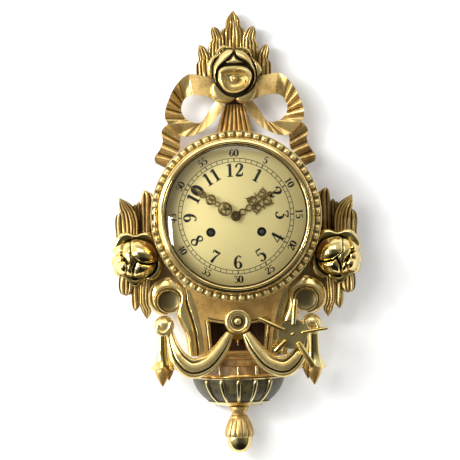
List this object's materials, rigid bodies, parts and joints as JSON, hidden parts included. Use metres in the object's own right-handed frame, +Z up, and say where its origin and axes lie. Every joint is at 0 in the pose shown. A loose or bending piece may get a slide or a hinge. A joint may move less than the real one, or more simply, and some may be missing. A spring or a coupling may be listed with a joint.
{
  "type": "wall clock",
  "caption": "Carved and gilded wall clock with a rose and bow crest, side roses, swags and a half-round bowl, hinged glass door, striking movement and star winding key.",
  "frame": {"origin": "the dial's centre projected onto the wall, on the back board's rear face", "axes": "+Z up, +X to the viewer's right, +Y into the wall, the dial faces -Y"},
  "size_m": [0.3417, 0.1059, 0.5992],
  "materials": {
    "gilt_matte": "matte gilding over carved wood",
    "gilt_bright": "burnished gilding over carved wood",
    "bare_wood": "unfinished dark wood",
    "brass": "polished",
    "steel": "bright",
    "antique_brass": "darkened with age",
    "iron": "black",
    "glass": "clear convex",
    "cream_dial": "cream enamel paint with black numerals",
    "olive_panel": "dark mottled olive with gilt rods",
    "key_bronze": "dark bronze disc with bright prongs"
  },
  "bodies": {
    "case": {"crest_plume": "gilt_matte", "crest_rose": "gilt_matte", "bow_left": "gilt_matte", "bow_right": "gilt_matte", "neck_pleats": "gilt_matte", "beaded_ring": "gilt_bright", "side_plume_left": "gilt_bright", "side_plume_right": "gilt_bright", "side_rose_left": "gilt_bright", "side_rose_right": "gilt_bright", "side_drop_left": "gilt_bright", "side_drop_right": "gilt_bright", "scroll_left": "gilt_bright", "scroll_right": "gilt_bright", "trunk": "gilt_bright", "centre_boss": "gilt_bright", "swag_left": "gilt_bright", "swag_right": "gilt_bright", "tassel_left": "gilt_bright", "tassel_right": "gilt_bright", "dado": "gilt_bright", "finial_cup": "gilt_bright", "finial_acorn": "gilt_bright", "back_board": "bare_wood", "case_drum": "bare_wood", "case_front": "bare_wood", "door_hinge": "brass", "movement_front_plate": "brass", "movement_back_plate": "brass", "upper_pillar_left": "brass", "upper_pillar_right": "brass", "lower_pillar_left": "brass", "lower_pillar_right": "brass", "pendulum_cock": "brass", "bell": "brass", "hinge_pin": "steel", "bell_post": "steel", "hanger_plate": "iron", "dial": "cream_dial", "bowl": "olive_panel"},
    "door": {"door_bezel": "brass", "door_glass": "glass", "door_catch": "antique_brass"},
    "minute_hand": {"minute_hand": "antique_brass", "hand_nut": "brass", "centre_arbor": "steel"},
    "hour_hand": {"hour_hand": "antique_brass", "hour_wheel": "brass"},
    "minute_wheel": {"minute_wheel": "brass"},
    "going_barrel": {"going_barrel": "brass"},
    "strike_barrel": {"strike_barrel": "brass"},
    "going_winding": {"going_winding_arbor": "steel"},
    "strike_winding": {"strike_winding_arbor": "steel"},
    "escape_wheel": {"escape_wheel": "brass"},
    "anchor": {"pallet_anchor": "steel"},
    "pendulum": {"pendulum_rod": "steel"},
    "bob": {"pendulum_bob": "brass"},
    "rating_nut": {"rating_nut": "brass"},
    "hammer": {"hammer": "steel"},
    "key": {"winding_key": "key_bronze"}
  },
  "joints": [
    {"name": "door_swing", "type": "hinge", "parent": "case", "child": "door", "pos_m": [-0.1073, -0.0877, 0], "axis": [0, 0, -1], "range_deg": [0, 100]},
    {"name": "minute_hand_turn", "type": "hinge", "parent": "case", "child": "minute_hand", "pos_m": [0, 0, 0], "axis": [0, 1, 0], "continuous": true},
    {"name": "hour_hand_turn", "type": "hinge", "parent": "case", "child": "hour_hand", "pos_m": [0, 0, 0], "axis": [0, 1, 0], "continuous": true},
    {"name": "minute_wheel_turn", "type": "hinge", "parent": "case", "child": "minute_wheel", "pos_m": [0, 0, 0.012], "axis": [0, 1, 0], "continuous": true},
    {"name": "going_barrel_turn", "type": "hinge", "parent": "case", "child": "going_barrel", "pos_m": [0.0339, 0, -0.0213], "axis": [0, 1, 0], "continuous": true},
    {"name": "strike_barrel_turn", "type": "hinge", "parent": "case", "child": "strike_barrel", "pos_m": [-0.0339, 0, -0.0213], "axis": [0, 1, 0], "continuous": true},
    {"name": "going_wind", "type": "hinge", "parent": "case", "child": "going_winding", "pos_m": [0.0339, 0, -0.0213], "axis": [0, 1, 0], "continuous": true},
    {"name": "strike_wind", "type": "hinge", "parent": "case", "child": "strike_winding", "pos_m": [-0.0339, 0, -0.0213], "axis": [0, 1, 0], "continuous": true},
    {"name": "escape_turn", "type": "hinge", "parent": "case", "child": "escape_wheel", "pos_m": [0, 0, 0.018], "axis": [0, 1, 0], "continuous": true},
    {"name": "pendulum_swing", "type": "hinge", "parent": "case", "child": "pendulum", "pos_m": [0, 0, 0.035], "axis": [0, 1, 0], "range_deg": [-4, 4]},
    {"name": "anchor_rock", "type": "hinge", "parent": "case", "child": "anchor", "pos_m": [0, 0, 0.035], "axis": [0, 1, 0], "range_deg": [-5, 5]},
    {"name": "bob_slide", "type": "slide", "parent": "pendulum", "child": "bob", "axis": [0, 0, 1], "range_m": [-0.001, 0.001]},
    {"name": "nut_turn", "type": "hinge", "parent": "bob", "child": "rating_nut", "pos_m": [0, -0.016, -0.17], "axis": [0, 0, 1], "continuous": true},
    {"name": "hammer_lift", "type": "hinge", "parent": "case", "child": "hammer", "pos_m": [-0.0245, 0, 0.012], "axis": [0, 1, 0], "range_deg": [0, 15]},
    {"name": "key_lift_off", "type": "slide", "parent": "case", "child": "key", "axis": [0, -1, 0], "range_m": [0, 0.06]}
  ],
  "couplings": [
    {"joint": "hour_hand_turn", "follows": "minute_hand_turn", "ratio": 0.083333},
    {"joint": "minute_wheel_turn", "follows": "minute_hand_turn", "ratio": -0.33333},
    {"joint": "anchor_rock", "follows": "pendulum_swing", "ratio": 1},
    {"joint": "nut_turn", "follows": "bob_slide", "rad_per_m": 12566}
  ]
}
